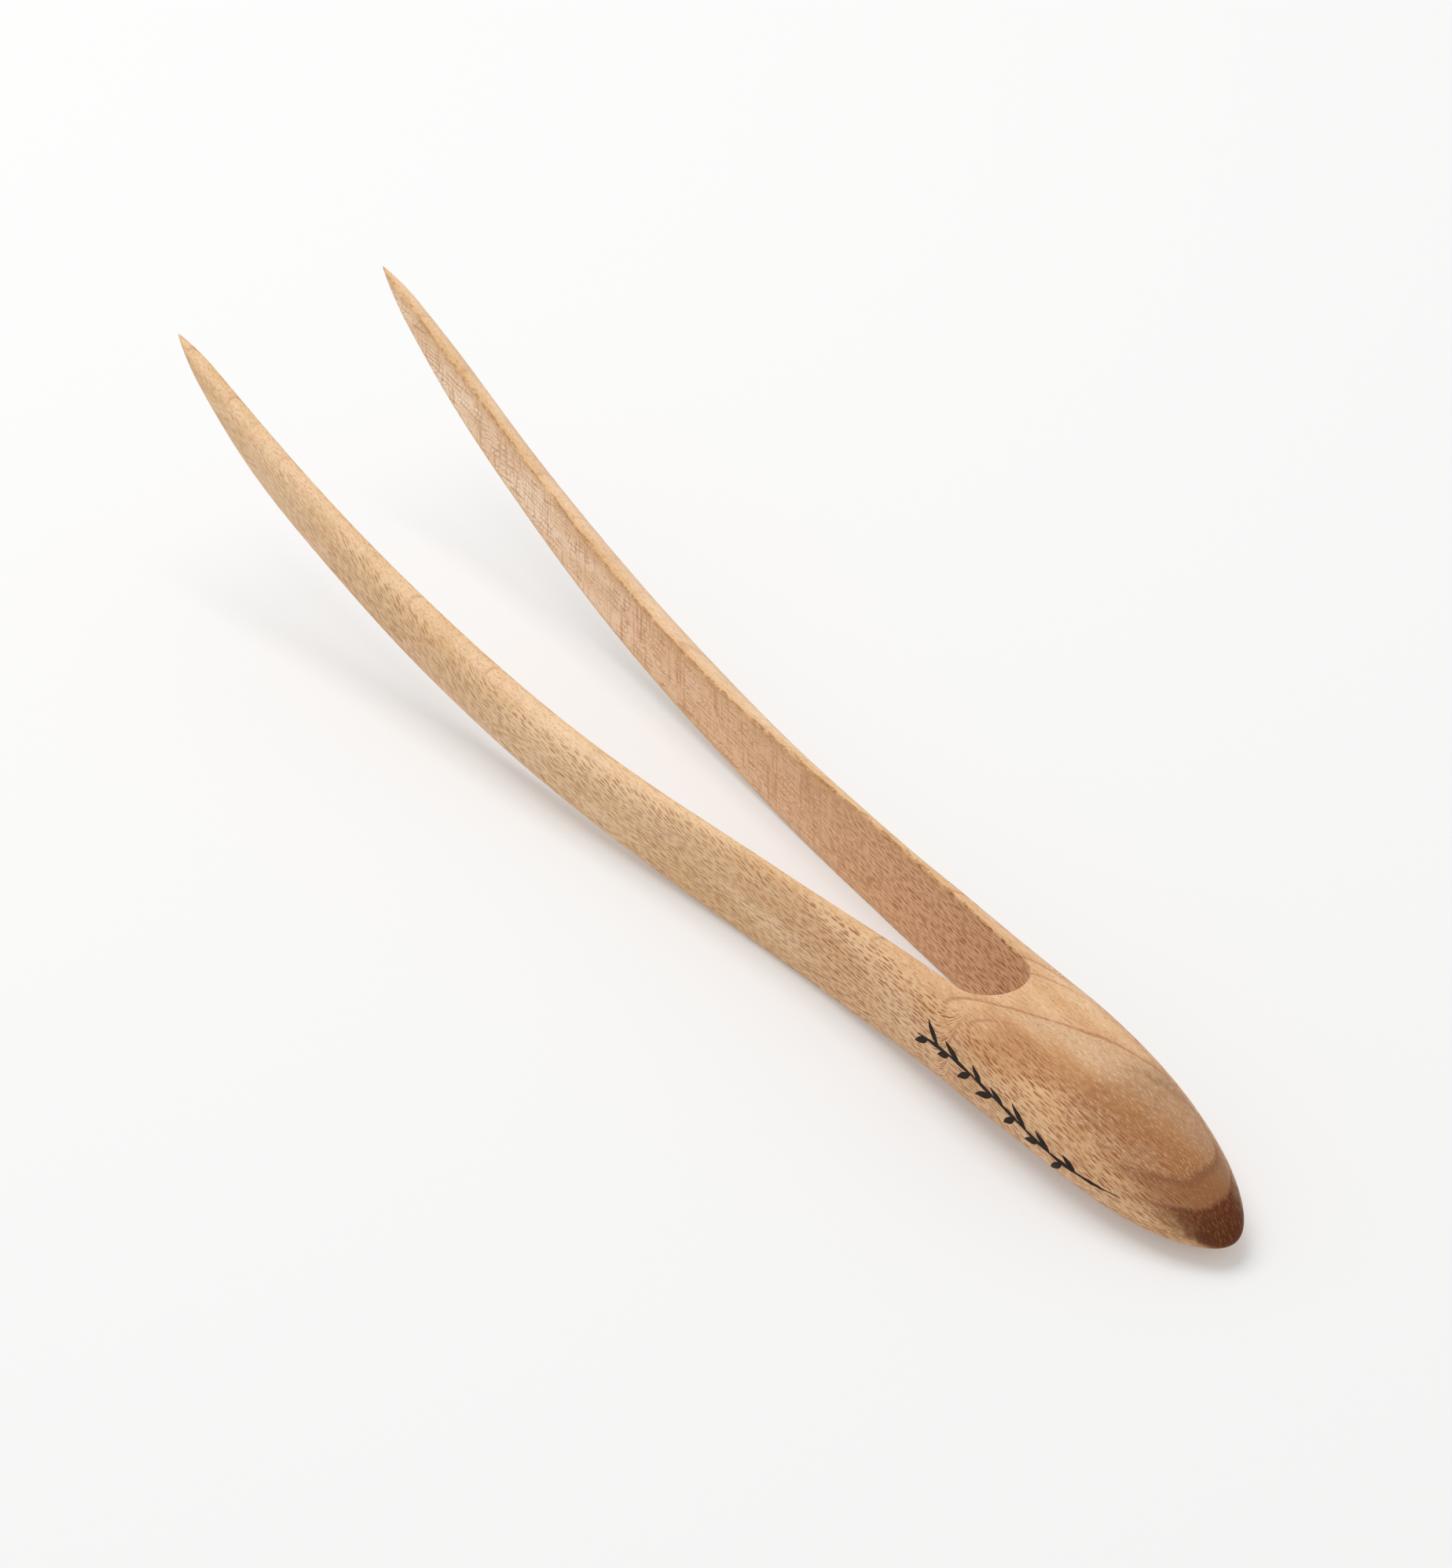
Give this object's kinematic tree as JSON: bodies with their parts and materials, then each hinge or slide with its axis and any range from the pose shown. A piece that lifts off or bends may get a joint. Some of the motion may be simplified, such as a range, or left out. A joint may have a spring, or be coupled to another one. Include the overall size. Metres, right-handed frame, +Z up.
{
  "type": "sprung wooden tongs",
  "caption": "Carved wooden tongs: a solid rounded head with long, upward-curving arms that spring apart and close at pointed tips.",
  "frame": {"origin": "on the resting surface, under the centre of the outline", "axes": "+X along the tongs towards the head's butt, +Y across the arms towards the right arm, +Z up"},
  "size_m": [0.2988, 0.051, 0.0442],
  "materials": {
    "maple": "oiled, satin"
  },
  "bodies": {
    "head": {"bridge": "maple"},
    "left_root": {"left_arm_root": "maple"},
    "left_middle": {"left_arm_middle": "maple"},
    "left_tip": {"left_arm_tip": "maple"},
    "right_root": {"right_arm_root": "maple"},
    "right_middle": {"right_arm_middle": "maple"},
    "right_tip": {"right_arm_tip": "maple"}
  },
  "joints": [
    {"name": "left_squeeze", "type": "hinge", "parent": "head", "child": "left_root", "pos_m": [0.0666, -0.00832, 0.01], "axis": [0, 0, -1], "range_deg": [0, 2.7], "stiffness_Nm_per_rad": 20},
    {"name": "left_bend", "type": "hinge", "parent": "left_root", "child": "left_middle", "pos_m": [0.0256, -0.01148, 0.01], "axis": [0, 0, -1], "range_deg": [0, 2.7]},
    {"name": "left_bow", "type": "hinge", "parent": "left_middle", "child": "left_tip", "pos_m": [-0.0244, -0.01483, 0.01], "axis": [0, 0, -1], "range_deg": [0, 1.62]},
    {"name": "right_squeeze", "type": "hinge", "parent": "head", "child": "right_root", "pos_m": [0.0666, 0.00832, 0.01], "axis": [0, 0, 1], "range_deg": [0, 2.7], "stiffness_Nm_per_rad": 20},
    {"name": "right_bend", "type": "hinge", "parent": "right_root", "child": "right_middle", "pos_m": [0.0256, 0.01148, 0.01], "axis": [0, 0, 1], "range_deg": [0, 2.7]},
    {"name": "right_bow", "type": "hinge", "parent": "right_middle", "child": "right_tip", "pos_m": [-0.0244, 0.01483, 0.01], "axis": [0, 0, 1], "range_deg": [0, 1.62]}
  ],
  "couplings": [
    {"joint": "left_bend", "follows": "left_squeeze", "ratio": 1},
    {"joint": "left_bow", "follows": "left_squeeze", "ratio": 0.6},
    {"joint": "right_bend", "follows": "right_squeeze", "ratio": 1},
    {"joint": "right_bow", "follows": "right_squeeze", "ratio": 0.6}
  ]
}
